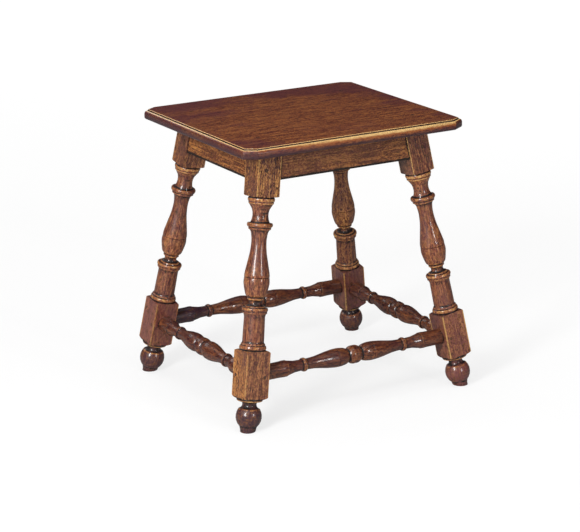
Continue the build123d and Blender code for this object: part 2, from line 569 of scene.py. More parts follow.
@dataclass(frozen=True)
class OldWood:
    """Open-grained hardwood, stained, waxed and rubbed for centuries.

    The eye gets a warm brown ground with streaks along the grain, fine dark pores, near-black wax and
    painted shade in the quirks, honey-coloured worn crests and arrises, and a glossy skin of old polish.
    Where the polish has dried out, the wood is paler, rougher and its open grain shows.
    """

    name: str
    polished: tuple[str, str, str]
    stain: str
    thinned: str
    worn: str
    grime_and_shade: str
    dried: tuple[str, str, str] | None = None
    dyed: str = "884a46"
    unpolished: str = "5c4a3c"
    # Purple-black; at one end of the back stretcher it is painted shade.
    blackened: str = "2c1c2a"
    tone_spread: float = 0.08
    dried_spread: float = 0.07
    streaks: Figure = Figure(4.0, 70.0, 3.0)
    # Fibres, flecks, pores and the lines of the open grain are drawn wider than the real 0.3 mm,
    # because finer ones don't show from here.
    fibres: Figure = Figure(2.4, 10.0, 2.0)
    flecks: Figure = Figure(2.2, 4.4, 1.0)
    pores: Figure = Figure(2.2, 7.0, 2.0)
    open_lines: Figure = Figure(2.6, 70.0, 1.0)
    stains: Figure = Figure(55.0, 95.0, 3.0)
    rubs: Figure = Figure(6.0, 9.0, 3.0)
    waves: Figure = Figure(14.0, 26.0, 1.0)
    wander: Figure = Figure(45.0, 160.0, 2.0)
    wander_mm: tuple[float, float, float] = (9.0, 9.0, 0.0)
    board_step: tuple[float, float, float] = (173.0, 91.0, 419.0)
    fibre_share: float = 0.6
    fleck_in_fibre: float = 0.45
    fleck_in_rub: float = 0.3
    fleck_share: float = 0.5
    pore_edge: Point = (0.52, 0.66)
    pore_under_polish: float = 0.5
    pore_share: float = 0.6
    stain_edge: Point = (0.4, 0.68)
    stain_share: float = 0.5
    arris_edge: Point = (22.2, 23.3)
    thinned_edge: Point = (0.05, 0.6)
    worn_edge: Point = (0.45, 1.2)
    wear: float = 0.8
    wear_unevenness: float = 0.45
    wax_and_shade_edge: Point = (0.0, 0.7)
    hole_spacing: float = 30.0
    hole_edge: Point = (0.6, 1.3)
    roughness: float = 0.38
    coat: float = 0.5
    coat_roughness: float = 0.11
    bare_coat: float = 0.1
    refraction: float = 1.45
    sheen_range: Point = (-0.05, 0.07)
    dull_pore: float = 0.25
    dull_wax: float = 0.2
    dull_dry: float = 0.2
    dull_raw: float = 0.25
    wave_height: float = 0.3
    ridge_height: float = 0.25
    dry_ridge_gain: float = 1.0
    pore_depth: float = 0.35
    hole_depth: float = 1.0
    bump_strength: float = 0.7
    board_half: Point | None = None
    paler_middle: tuple[float, float, float] = (-50.0, 0.0, -10.0)
    paler_edge: tuple[float, float, float, float] = (0.6, 1.4, -0.14, 0.2)

    def make(self) -> Finish:
        """Builds the finish.

        Returns:
            The material.
        """
        finish = bpy.data.materials.new(self.name)
        tree = empty_tree(finish)
        node = partial(add_node, tree)
        stock = node("Attribute", out="Vector", attribute_name="stock")
        relief, dry, raw, black, dye, rubbed_arris, board = (
            node("Attribute", out="Fac", attribute_name=name)
            for name in ("relief", "dry", "raw", "black", "dye", "arris", "board")
        )
        shift = node("VectorMath", (board, self.board_step), operation="MULTIPLY")
        place = node("VectorMath", (stock, shift), operation="ADD")

        # The grain wanders a few millimetres, so that no streak runs dead straight.
        wander = self.wander.draw(tree, place, "Color")
        bend = node("VectorMath", (wander, self.wander_mm), operation="MULTIPLY")
        grain = node("VectorMath", (place, bend), operation="ADD")
        broad, fibre, flecks, pores, lines = (
            figure.draw(tree, grain)
            for figure in (self.streaks, self.fibres, self.flecks, self.pores, self.open_lines)
        )
        fine = node("Mix", {0: self.fleck_in_fibre, 2: fibre, 3: flecks})
        streak = node("Mix", {0: self.fibre_share, 2: broad, 3: fine})
        open_grain = node("Mix", {0: self.fleck_share, 2: lines, 3: flecks})
        pores = node("MapRange", (pores, *self.pore_edge), **GENTLE)
        covered = self.pore_under_polish
        pore_seen = node("Math", (dry, 1 - covered, covered), operation="MULTIPLY_ADD")
        pore = node("Math", (pores, pore_seen), operation="MULTIPLY")
        pore_dark = node("Math", (pore, self.pore_share), operation="MULTIPLY")
        rub = node("Mix", {0: self.fleck_in_rub, 2: self.rubs.draw(tree, place), 3: flecks})
        uneven = self.wear_unevenness
        rub = node("MapRange", (rub, *MOST_OF_A_FIGURE, -uneven, uneven), **GENTLE)

        # Wear follows the crests and the arrises of the squares: first the polish is thin, then gone. On the
        # seat's moulding these pale colours are also painted highlights.
        across = node("SeparateXYZ", (stock,)).node.outputs
        nearest = node(
            "Math", [node("Math", (across[i],), operation="ABSOLUTE") for i in (0, 1)], operation="MINIMUM"
        )
        arris = node("MapRange", (nearest, *self.arris_edge), **GENTLE)
        arris = node("Math", (arris, rubbed_arris), operation="MULTIPLY")
        crest = node("Math", (relief, arris), operation="MAXIMUM")
        rubbed = node("Math", (crest, rub), operation="ADD")
        thinned, worn = (
            node("MapRange", (rubbed, *edge, 0.0, self.wear), **GENTLE)
            for edge in (self.thinned_edge, self.worn_edge)
        )

        # Old wax and dust, black in the quirks, where it is partly painted shade, and a few worm holes.
        deep = node("Math", (relief, -1.0, rub), operation="MULTIPLY_ADD")
        # waxed: wax in the quirks, partly painted shade.
        waxed = node("MapRange", (deep, *self.wax_and_shade_edge), **GENTLE)
        scale = 1 / self.hole_spacing
        holes = node("TexVoronoi", {"Vector": place, "Scale": scale}, "Distance")
        hole = node("MapRange", (holes, *(edge * scale for edge in self.hole_edge), 1.0, 0.0), **GENTLE)
        dark = node("Math", (waxed, hole), operation="MAXIMUM")

        grounds = [
            self.tones(tree, streak, self.polished, self.tone_spread),
            self.tones(tree, open_grain, self.dried or self.polished, self.dried_spread),
        ]
        colour = node("Mix", {0: dry, 6: grounds[0], 7: grounds[1]}, 2, data_type="RGBA")
        patches = self.patches(tree, stock, place)
        stained = node("MapRange", (patches, *self.stain_edge, 0.0, self.stain_share), **GENTLE)
        for layer, share in (
            (self.stain, stained),
            (self.dyed, dye),
            (self.blackened, black),
            (self.unpolished, raw),
            (self.grime_and_shade, pore_dark),
            (self.thinned, thinned),
            (self.worn, worn),
            (self.grime_and_shade, dark),
        ):
            colour = node("Mix", {0: share, 6: colour, 7: linear(layer)}, 2, data_type="RGBA")

        # The polish is duller in the pores, in the quirks and where it has dried out or never was.
        sheen = [self.roughness + change for change in self.sheen_range]
        rough = node("MapRange", (streak, *MOST_OF_A_FIGURE, *sheen), **GENTLE)
        shares = (self.dull_pore, self.dull_wax, self.dull_dry, self.dull_raw)
        for dull, share in zip((pore, dark, dry, raw), shares):
            rough = node("Math", (dull, share, rough), operation="MULTIPLY_ADD")
        bare = node("Math", (dry, raw), operation="MAXIMUM")
        coat = node("MapRange", (bare, 0.0, 1.0, self.coat, self.bare_coat * self.coat), **GENTLE)

        # Height in millimetres: the slight waves of hand work, raised streaks, sunk pores and holes.
        height = node("Math", (self.waves.draw(tree, place), self.wave_height), operation="MULTIPLY")
        ridge = node("Math", (dry, self.dry_ridge_gain, self.ridge_height), operation="MULTIPLY_ADD")
        for figure, rise in ((streak, ridge), (pore, -self.pore_depth), (hole, -self.hole_depth)):
            height = node("Math", (figure, rise, height), operation="MULTIPLY_ADD")
        bump = node("Bump", {"Height": height, "Distance": MM, "Strength": self.bump_strength})
        surface = {
            "Base Color": colour,
            "Roughness": rough,
            "IOR": self.refraction,
            "Coat Weight": coat,
            "Coat Roughness": self.coat_roughness,
            "Normal": bump,
        }
        node("OutputMaterial", {"Surface": node("BsdfPrincipled", surface)})
        return finish

    def patches(self, tree: Tree, stock: Socket, place: Socket) -> Socket:
        """Slow patches of stain, gathered towards the corners of a board whose half size is given.

        Args:
            tree: The finish's node tree.
            stock: The place in the piece's own stock.
            place: The place in the board.

        Returns:
            The strength of the stain.
        """
        patches = self.stains.draw(tree, place)
        if not self.board_half:
            return patches
        node = partial(add_node, tree)
        across_half, along_half = self.board_half
        moved = node("VectorMath", (stock, self.paler_middle), operation="SUBTRACT")
        share = node("VectorMath", (moved, (1 / across_half, 0.0, 1 / along_half)), operation="MULTIPLY")
        far = node("VectorMath", (share,), "Value", operation="LENGTH")
        darker = node("MapRange", (far, *self.paler_edge), **GENTLE)
        return node("Math", (patches, darker), operation="ADD")

    @staticmethod
    def tones(tree: Tree, figure: Socket, colours: tuple[str, str, str], spread: float) -> Socket:
        """Colours a figure from its dark to its light parts.

        Args:
            tree: The finish's node tree.
            figure: The pattern to colour.
            colours: The dark, the ground and the light colour.
            spread: How far the dark and the light one lie each side of the middle.

        Returns:
            The colour.
        """
        tone = add_node(tree, "ValToRGB", (figure,))
        dark, ground, light = (linear(colour) for colour in colours)
        steps = tone.node.color_ramp.elements
        steps[0].position, steps[0].color = 0.5 - spread, dark
        steps[1].position, steps[1].color = 0.5 + spread, light
        steps.new(0.50).color = ground
        return tone


# Pieces


@dataclass(frozen=True)
class LegLine:
    """The centre line of a leg: its foot on the floor and its direction, one millimetre high."""

    foot: Vector
    slope: Vector

    @property
    def up(self) -> Vector:
        """Unit vector up the leg."""
        return self.slope.normalized()

    def along(self, point: Vector) -> float:
        """Distance of a point up the leg, in millimetres."""
        return (point - self.foot).dot(self.up)

    def stock_place(self, point: Vector) -> Vector:
        """Place in the leg's own stock, with Z along the leg."""
        centre = self.foot + self.slope * point.z
        return Vector((point.x - centre.x, point.y - centre.y, point.z * self.slope.length))


@dataclass(frozen=True)
class LegAge:
    """What the years have done to one leg: its turned parts, the faces of its squares and its foot."""

    turned: Age
    upper_front: Age
    upper: Age
    lower_front: Age
    lower: Age
    foot: Age


@dataclass
class Legs:
    """The four turned legs, squared where the joints are."""

    faces_round: int = 96
    arris: float = 1.6
    trim: float = 12.0
    block_clearance: float = 38.0
    lower_block_bottom: float = 62.2
    lower_block_top: float = 153.2
    upper_block_bottom: float = 440.4
    line_height: float = 290.0
    line_radius: float = 23.8
    line_width: float = 1.4
    line_depth: float = 0.9
    front_slack: float = 0.3
    quirk_start: float = -0.1
    usual_rubbing: Point = (0.8, 0.0)
    ring_rubbing: tuple[tuple[float, float, float, float], ...] = (
        (0.0, 54.0, 0.5, 0.0),
        (154.0, 163.0, 0.8, 0.1),
        (216.0, 236.0, 0.5, 0.0),
        (247.0, 255.0, 0.5, 0.3),
        (376.0, 394.0, 0.35, 0.0),
        (427.0, 441.0, 0.7, 0.45),
    )
    ages: dict[Place, LegAge] = field(
        default_factory=lambda: {
            Place.FRONT_LEFT: LegAge(
                turned=Age(),
                upper_front=Age(relief=0.08, dry=1.0, arris=1.0),
                upper=Age(dry=0.6, black=0.12, arris=0.9),
                lower_front=Age(dry=0.2, black=0.12, arris=0.7),
                lower=Age(relief=0.35, dry=1.0, arris=0.8),
                foot=Age(black=0.75),
            ),
            Place.FRONT_RIGHT: LegAge(
                turned=Age(relief=0.1, dye=0.08),
                upper_front=Age(black=0.12, arris=1.3),
                upper=Age(dry=0.3, black=0.2, raw=0.3, arris=1.3),
                lower_front=Age(relief=0.05, dry=0.6, dye=0.38, arris=1.2),
                lower=Age(black=0.35, dye=0.3, arris=1.2),
                foot=Age(black=0.35, dye=0.6),
            ),
            Place.BACK_LEFT: LegAge(
                turned=Age(),
                upper_front=Age(dry=0.3, black=0.2),
                upper=Age(dry=0.3, arris=0.7),
                lower_front=Age(black=0.15, dye=0.35, arris=0.7),
                lower=Age(dye=0.45, black=0.08, arris=0.8),
                foot=Age(black=0.65, dye=0.2),
            ),
            Place.BACK_RIGHT: LegAge(
                turned=Age(relief=0.1, dry=0.5),
                upper_front=Age(dry=0.3, black=0.2),
                upper=Age(dry=0.5, arris=0.6),
                lower_front=Age(black=0.3, dye=0.3, arris=0.9),
                lower=Age(black=0.3, dye=0.3, arris=0.9),
                foot=Age(black=0.65),
            ),
        }
    )

    def cuts(self) -> list[Cut]:
        """The turned outline from the foot up.

        Returns:
            The cuts, as (radius, distance along the leg).
        """
        wide, half_line = self.block_clearance, self.line_width / 2
        foot = [
            [(14.6, 1.5)], [(16.4, 8.5)], [(24.6, 27.5), (20.2, 42.4)], [(18.9, 43.2)],
            [(13.4, 50.5), (15.6, 56.4)], [(22.2, 57.0)], [(24.8, 59.6), (24.2, self.lower_block_bottom)],
            [(32.0, 63.6), (wide, 69.0)],
        ]
        column = [
            [(wide, 150.0)], [(31.0, 152.4), (24.2, self.lower_block_top)], [(24.2, 154.0)],
            [(25.5, 157.8), (24.6, 161.6)], [(23.0, 162.6)], [(22.8, 165.2)], [(20.9, 167.6), (20.5, 171.5)],
            [(20.2, 192.0), (19.7, 215.5)], [(20.4, 219.4), (22.0, 222.6)], [(23.1, 223.2)], [(23.1, 226.6)],
            [(24.6, 229.8), (23.7, 232.8)], [(19.6, 233.4)], [(18.6, 236.0)],
        ]
        vase = [
            [(11.9, 241.5), (15.4, 248.8)], [(15.4, 252.0)], [(16.4, 253.6)],
            [(20.0, 258.6), (24.2, 277.5), (self.line_radius, self.line_height - half_line)],
            [(self.line_radius - self.line_depth, self.line_height)],
            [(self.line_radius, self.line_height + half_line)],
            [(23.4, 297.5), (19.7, 316.5), (15.8, 336.5), (14.2, 357.0), (15.7, 372.0), (18.2, 378.0)],
            [(21.2, 380.0)], [(21.4, 383.8)],
        ]
        neck = [
            [(23.0, 384.6)], [(24.3, 388.2), (23.2, 391.4)], [(18.2, 392.2)], [(14.9, 404.0), (16.6, 417.0)],
            [(19.0, 421.2), (22.4, 426.6)], [(23.8, 428.0)], [(23.8, 431.0)], [(25.4, 435.2), (24.0, 439.4)],
            [(23.2, self.upper_block_bottom)], [(31.0, 441.0), (wide, 443.0)],
        ]
        return foot + column + vase + neck

    def build(self, finish: Finish) -> None:
        """Makes all four legs and dresses them.

        Args:
            finish: The finish of the legs.
        """
        cuts = self.cuts()
        points = outline((cuts[0][0][0], -self.trim), cuts)
        top = PLAN.leg_length + self.trim
        closed = [(0.0, -self.trim), *points, (self.block_clearance, top), (0.0, top)]
        pattern = turn("leg_pattern", closed, self.faces_round)
        relief = relief_along(points)
        for number, place in enumerate(Place):
            leg = put("turned_leg_" + place.name.lower(), pattern.data.copy())
            self.make_leg(leg, place, number, relief)
            dress(leg, "leg_" + place.name.lower(), finish)
        bpy.data.objects.remove(pattern)

    def make_leg(
        self, leg: Piece, place: Place, number: int, relief: Callable[[float, float], float]
    ) -> None:
        """Makes one leg from a turned blank.

        Args:
            leg: The turned blank, upright, with its axis along Z.
            place: Where the leg stands.
            number: The number of its board.
            relief: The relief of the turned outline.
        """
        side_x, side_y = place.value
        line = LegLine(
            foot=Vector((side_x * PLAN.foot_x, side_y * PLAN.foot_y, 0)),
            slope=Vector((-side_x * PLAN.lean_x, -side_y * PLAN.lean_y, 1)),
        )
        leg.data.name = leg.name
        lean = Vector((0, 0, 1)).rotation_difference(line.slope)
        settle(leg, Matrix.Translation(line.foot * MM) @ lean.to_matrix().to_4x4())
        bpy.ops.object.mode_set(mode="EDIT")
        self.square(leg, line, (self.lower_block_bottom, self.lower_block_top), PLAN.lower_block)
        self.square(leg, line, (self.upper_block_bottom, PLAN.leg_length + 2 * self.trim), PLAN.upper_block)
        for height, direction in ((0.0, -1), (PLAN.frame_height, 1)):
            pick_all()
            cut_away(Vector((0, 0, height * MM)), Vector((0, 0, direction)))
        smooth(leg)

        ages = self.ages[place]

        def age(point: Vector) -> Age:
            """Tells the leg's age: rubbed rings, dried squares and a blackened foot.

            Args:
                point: A point of the leg, in millimetres.

            Returns:
                The age there.
            """
            along = line.along(point)
            if self.is_square(along):
                in_front = line.stock_place(point).y < self.front_slack - PLAN.upper_block / 2
                if along > self.upper_block_bottom:
                    return ages.upper_front if in_front else ages.upper
                return ages.lower_front if in_front else ages.lower
            here = relief((point - line.foot - line.up * along).length, along)
            turned = ages.foot if along < self.lower_block_bottom else ages.turned
            share, extra = self.rubbing(along)
            worn = here * share + extra + turned.relief
            return replace(turned, relief=worn if here > self.quirk_start else here)

        mark(leg, number, line.stock_place, age)

    def rubbing(self, along: float) -> Point:
        """How hands and feet have rubbed a place along the leg.

        Args:
            along: The distance along the leg.

        Returns:
            The share of the relief that counts there, and the wear that is added to it.
        """
        for start, end, share, extra in self.ring_rubbing:
            if start <= along <= end:
                return share, extra
        return self.usual_rubbing

    def is_square(self, along: float, margin: float = 0.05) -> bool:
        """Whether the leg is squared at a distance along it, by more than a margin."""
        in_lower = self.lower_block_bottom + margin < along < self.lower_block_top - margin
        return in_lower or along > self.upper_block_bottom + margin

    def square(self, leg: Piece, line: LegLine, ends: Point, size: float) -> None:
        """Saws the four flat faces of a square and eases its arrises.

        Args:
            leg: The leg, in edit mode.
            line: Its centre line.
            ends: Where the square starts and ends, along the leg.
            size: Its width.
        """

        def is_inside(place: Vector) -> bool:
            """Whether a place, in metres, lies between the two ends of the square."""
            return ends[0] < line.along(place / MM) < ends[1]

        def is_arris(edge: Edge) -> bool:
            """Tells where two flat faces of the square meet.

            Args:
                edge: An edge of the leg.

            Returns:
                Whether it is one of the four arrises.
            """
            start, end = (vertex.co for vertex in edge.verts)
            middle = (start + end) / 2
            offset = line.stock_place(middle / MM)
            at_corner = min(abs(offset.x), abs(offset.y)) > size / 2 - SLACK
            is_upright = abs((end - start).normalized().dot(line.up)) > ALIGNED
            return at_corner and is_inside(middle) and is_upright

        for direction in (Vector((1, 0, 0)), Vector((0, 1, 0))):
            normal = Vector((-direction.y, direction.x, 0)).cross(line.up).normalized()
            if normal.dot(direction) < 0:
                normal.negate()
            for sign in (-1, 1):
                pick(leg, faces=lambda face: is_inside(face.calc_center_median()))
                cut_away((line.foot + direction * sign * size / 2) * MM, normal * sign)
        pick(leg, edges=is_arris)
        bpy.ops.mesh.bevel(offset=self.arris * MM, segments=3, affect="EDGES")


class OnEachSide:
    """Pieces that are made once for each side of the stool."""

    def build(self, finish: Finish) -> None:
        """Makes the piece of each side, with a number for its board, in the given finish."""
        for number, side in enumerate(Side):
            self.make(side, number, finish)

    def make(self, side: Side, number: int, finish: Finish) -> None:
        """Makes the piece of one side, which each kind of piece does in its own way."""
        raise NotImplementedError


@dataclass
class Stretchers(OnEachSide):
    """The four turned stretchers low between the legs."""

    faces_round: int = 64
    into_block: float = 4.0
    short_spacing: float = 0.84
    middle_radius: float = 17.4
    line_distance: float = 39.5
    line_radius: float = 17.95
    line_width: float = 1.3
    line_depth: float = 0.8
    long_end: Point = (215.0, 12.8)
    short_end: Point = (215.0, 15.0)
    end_taper: float = 0.3
    end_grime: float = 3.0
    end_relief: float = -0.8
    first_board: int = 10
    # Painted shade on the left end of the back stretcher: black by distance along it.
    painted_shade_end: tuple[Point, ...] = ((100.0, 0.0), (125.0, 0.8))
    rubbing: dict[Side, float] = field(
        default_factory=lambda: {Side.FRONT: 0.75, Side.RIGHT: 0.4, Side.BACK: 0.6, Side.LEFT: 0.3}
    )
    heights: dict[Side, float] = field(
        default_factory=lambda: {Side.FRONT: 103.0, Side.RIGHT: 101.0, Side.BACK: 106.5, Side.LEFT: 105.0}
    )

    def cuts(self, side: Side) -> list[Cut]:
        """Half the turned outline of a side, from the middle out.

        Args:
            side: The side.

        Returns:
            The cuts, as (distance, radius).
        """
        half_line = self.line_width / 2
        return [
            [(9.6, 15.9), (13.6, 12.4)], [(15.4, 12.8)],
            [(21.0, 16.0), (32.0, 17.9), (self.line_distance - half_line, self.line_radius)],
            [(self.line_distance, self.line_radius - self.line_depth)],
            [(self.line_distance + half_line, self.line_radius)],
            [(45.0, 17.8), (61.0, 16.0), (75.0, 13.6), (90.0, 11.4), (107.6, 10.6)], [(108.2, 12.2)],
            [(112.0, 13.4), (115.8, 12.2)], [(116.4, 10.6)], [(135.0, 11.5), (149.6, 14.6)], [(150.6, 14.6)],
            [(151.4, 15.7)], [(157.0, 15.9), (165.0, 15.4)],
            [self.long_end if side.is_long else self.short_end],
        ]

    def make(self, side: Side, number: int, finish: Finish) -> None:
        """Makes one stretcher.

        Args:
            side: The side that it runs along.
            number: The number of its board.
            finish: The finish.
        """
        spacing = 1.0 if side.is_long else self.short_spacing
        height = self.heights[side]
        reach = PLAN.leg_along(side, height) - PLAN.lower_block / 2 + self.into_block
        cuts = [[(spacing * x, r) for x, r in cut] for cut in self.cuts(side)]
        half = [(x, r) for x, r in outline((0.0, self.middle_radius), cuts) if x < reach]
        half.append((reach, half[-1][1] - self.end_taper))
        whole = [(r, -x) for x, r in reversed(half)] + [(r, x) for x, r in half[1:]]
        relief = relief_along(whole)
        closed = [(0.0, -reach), *whole, (0.0, reach)]
        stretcher = turn("turned_stretcher_" + side.name.lower(), closed, self.faces_round)
        middle = side.outward * PLAN.leg_out(side, height) + Vector((0, 0, height))
        across = Vector((0, 0, 1))
        axes = Matrix((across, across.cross(side.along) * -1, side.along)).transposed()
        settle(stretcher, Matrix.Translation(middle * MM) @ axes.to_4x4())
        smooth(stretcher)

        def stock_place(point: Vector) -> Vector:
            """Place in the stretcher's own stock, with Z along it."""
            offset = point - middle
            return Vector((offset.z, offset.dot(side.outward), offset.dot(side.along)))

        def age(point: Vector) -> Age:
            """Tells the stretcher's age: rubbed on its rings, and painted shade at one end of the back one.

            Args:
                point: A point of the stretcher, in millimetres.

            Returns:
                The age there.
            """
            stock = stock_place(point)
            at_block = abs(stock.z) > reach - self.into_block - self.end_grime
            # Painted shade: the back stretcher's left end is darkened, and rubbed less.
            dark = between(self.painted_shade_end, stock.z) if side is Side.BACK else 0.0
            here = relief(stock.xy.length, stock.z)
            if here > 0:
                here *= self.rubbing[side] * (1 - dark)
            return Age(relief=self.end_relief if at_block else here, black=dark)

        mark(stretcher, self.first_board + number, stock_place, age)
        dress(stretcher, "stretcher_" + side.name.lower(), finish)


@dataclass
class Aprons(OnEachSide):
    """The four plain aprons between the upper squares."""

    thickness: float = 20.0
    recess: float = 2.0
    into_block: float = 1.0
    edge_round: float = 1.2
    face_rims: Point = (2.2, 2.0)
    face_area: float = 1000.0
    rim: float = 1.5
    top_rim: float = 0.5
    joint_relief: float = -0.9
    arris_relief: float = 0.6
    first_board: int = 20
    dryness: dict[Side, float] = field(
        default_factory=lambda: {Side.FRONT: 0.65, Side.RIGHT: 0.6, Side.BACK: 0.5, Side.LEFT: 1.0}
    )

    def make(self, side: Side, number: int, finish: Finish) -> None:
        """Makes one apron.

        Args:
            side: The side that it closes.
            number: The number of its board.
            finish: The finish.
        """
        top = PLAN.frame_height
        bottom = top - PLAN.apron_depth
        centre = (bottom + top) / 2
        face = PLAN.upper_block / 2 - self.recess
        half = [PLAN.leg_along(side, z) - PLAN.upper_block / 2 + self.into_block for z in (bottom, top)]
        out = [PLAN.leg_out(side, z) + face for z in (bottom, top)]
        apron = start_piece("apron_board_" + side.name.lower(), 1.0, bpy.ops.mesh.primitive_cube_add)
        bpy.ops.transform.resize(value=(2 * half[0] * MM, self.thickness * MM, PLAN.apron_depth * MM))
        bpy.ops.transform.translate(value=Vector((0, self.thickness / 2 - out[0], centre)) * MM)
        pick(apron, faces=lambda f: f.normal.z > 0.5)
        bpy.ops.transform.resize(value=(half[1] / half[0], 1, 1))
        bpy.ops.transform.translate(value=Vector((0, out[0] - out[1], 0)) * MM)
        pick(apron, edges=lambda e: self.is_bottom_edge(e, bottom))
        bpy.ops.mesh.bevel(offset=self.edge_round * MM, segments=3, affect="EDGES")
        for rim in self.face_rims:
            pick(apron, faces=lambda f: f.normal.y < -0.9 and f.calc_area() > self.face_area * MM**2)
            bpy.ops.mesh.inset(thickness=rim * MM)
        settle(apron, side.turned.to_4x4())
        smooth(apron)

        def stock_place(point: Vector) -> Vector:
            """Place in the apron's own board, with Z along it."""
            out_here = PLAN.leg_out(side, point.z) + face - self.thickness / 2
            return Vector((point.dot(side.outward) - out_here, point.z - centre, point.dot(side.along)))

        def age(point: Vector) -> Age:
            """Tells the board's age: dark along its joints, rubbed along its bottom arris, raw inside.

            Args:
                point: A point of the board, in millimetres.

            Returns:
                The age there.
            """
            end = PLAN.leg_along(side, point.z) - PLAN.upper_block / 2
            in_thickness = stock_place(point).x
            if in_thickness < 0:
                return Age(dry=1.0, raw=1.0)
            if abs(point.dot(side.along)) > end - self.rim or point.z > top - self.top_rim:
                return Age(relief=self.joint_relief, dry=self.dryness[side])
            at_arris = point.z < bottom + self.rim and in_thickness > self.thickness / 2 - self.rim
            return Age(relief=self.arris_relief if at_arris else 0.0, dry=self.dryness[side])

        mark(apron, self.first_board + number, stock_place, age)
        dress(apron, "apron_" + side.name.lower(), finish)

    @staticmethod
    def is_bottom_edge(edge: Edge, bottom: float) -> bool:
        """Whether an edge is one of the two long ones at the bottom of the board."""
        run = edge.verts[1].co - edge.verts[0].co
        return all(abs(v.co.z / MM - bottom) < SLACK for v in edge.verts) and abs(run.x) > abs(run.y)


@dataclass
class Pegs:
    """The pegs that lock the joints: the ends of the riven pins that show."""

    faces_round: int = 14
    head_length: float = 6.0
    seat_proud: float = 0.05
    proud: float = 0.35
    rounding: tuple[Point, ...] = ((0.0, 0.25), (0.35, 0.05))
    rim: float = 1.1
    inner_rim: float = 0.4
    rim_relief: float = -0.25
    open_rim_relief: float = -1.0
    middle_relief: float = 0.1
    seat_radius: float = 4.5
    seat_x: float = 171.0
    seat_y: float = 129.0
    apron_radius: float = 3.5
    apron_height: float = 484.0
    apron_shift: dict[bool, float] = field(default_factory=lambda: {True: 7.0, False: -10.0})
    open_apron_pegs: tuple[int, ...] = (0,)
    stretcher_radius: float = 3.0
    stretcher_from_edge: float = 10.0
    first_board: int = 40

    def build(self, finish: Finish, heights: dict[Side, float]) -> None:
        """Makes all pegs and dresses them.

        Args:
            finish: The finish of the pegs.
            heights: The heights of the stretchers, which the lower pegs share.
        """
        top = PLAN.height - self.seat_proud
        in_seat = [
            Matrix.Translation(Vector((x * self.seat_x, y * self.seat_y, top)) * MM)
            for x, y in (place.value for place in Place)
        ]
        in_apron = [
            self.in_leg(side, end, self.apron_height, self.apron_shift[side.is_long])
            for side in Side
            for end in (-1, 1)
        ]
        from_line = self.stretcher_from_edge - PLAN.lower_block / 2
        in_stretcher = [
            self.in_leg(side, end, height, from_line) for side, height in heights.items() for end in (-1, 1)
        ]
        self.drive("seat_pegs", self.seat_radius, self.seat_proud, in_seat, finish)
        self.drive("apron_pegs", self.apron_radius, self.proud, in_apron, finish, self.open_apron_pegs)
        self.drive("stretcher_pegs", self.stretcher_radius, self.proud, in_stretcher, finish)

    @staticmethod
    def in_leg(side: Side, end: int, height: float, from_line: float) -> Matrix:
        """Placement of a peg that is driven level into the outer face of a leg's square.

        Args:
            side: The side whose joint it locks.
            end: -1 or 1, for the joint's end of that side.
            height: Its height.
            from_line: How far it is past the leg's centre line, away from the middle of the side.

        Returns:
            The placement of a peg that points along Z.
        """
        size = PLAN.lower_block if height < PLAN.frame_height / 2 else PLAN.upper_block
        out = PLAN.leg_out(side, height) + size / 2
        along = PLAN.leg_along(side, height) + from_line
        place = side.along * end * along + side.outward * out + Vector((0, 0, height))
        lean = PLAN.lean_y if side.is_long else PLAN.lean_x
        face = (side.outward + Vector((0, 0, lean))).normalized()
        turned = Vector((0, 0, 1)).rotation_difference(face).to_matrix().to_4x4()
        return Matrix.Translation(place * MM) @ turned

    def drive(
        self,
        node: str,
        radius: float,
        proud: float,
        placements: list[Matrix],
        finish: Finish,
        opened: tuple[int, ...] = (),
    ) -> None:
        """Makes the pegs of one kind from one pattern, as one piece.

        Args:
            node: The name of the CAD node that they stand for.
            radius: The radius of a peg.
            proud: How far its end stands out.
            placements: Where each peg goes.
            finish: The finish.
            opened: The numbers of the pegs with an open, black rim.
        """
        edge = radius - self.rim
        points = [(0.0, -self.head_length), (radius, -self.head_length)]
        points += [(radius - inward, proud - down) for inward, down in self.rounding]
        points += [(edge, proud), (edge - self.inner_rim, proud), (0.0, proud)]
        pattern = turn(node + "_pattern", points, self.faces_round)
        pegs = []
        for number, placement in enumerate(placements):
            peg = put(f"{node}_{number}", pattern.data.copy())
            settle(peg, placement)
            smooth(peg)
            rim_relief = self.open_rim_relief if number in opened else self.rim_relief
            self.mark_peg(peg, number, placement, edge, rim_relief)
            pegs.append(peg)
        bpy.data.objects.remove(pattern)
        hold(*pegs)
        bpy.ops.object.join()
        piece = bpy.context.object
        piece.name = piece.data.name = node.replace("pegs", "peg_ends")
        dress(piece, node, finish)

    def mark_peg(self, peg: Piece, number: int, placement: Matrix, edge: float, rim_relief: float) -> None:
        """Writes the age of one peg: dark round the rim, where wax has filled the hole, and rubbed inside.

        Args:
            peg: The peg, in its place.
            number: Its number among its kind.
            placement: Where it was put.
            edge: The radius inside its rim.
            rim_relief: The relief of its rim.
        """
        inverse = placement.inverted()

        def own_place(point: Vector) -> Vector:
            """Place in the peg's own pin, with Z along it."""
            return inverse @ (point * MM) / MM

        def age(point: Vector) -> Age:
            """Age of the rim or of the middle."""
            in_rim = own_place(point).xy.length > edge - SLACK
            return Age(relief=rim_relief if in_rim else self.middle_relief)

        mark(peg, self.first_board + number, own_place, age)


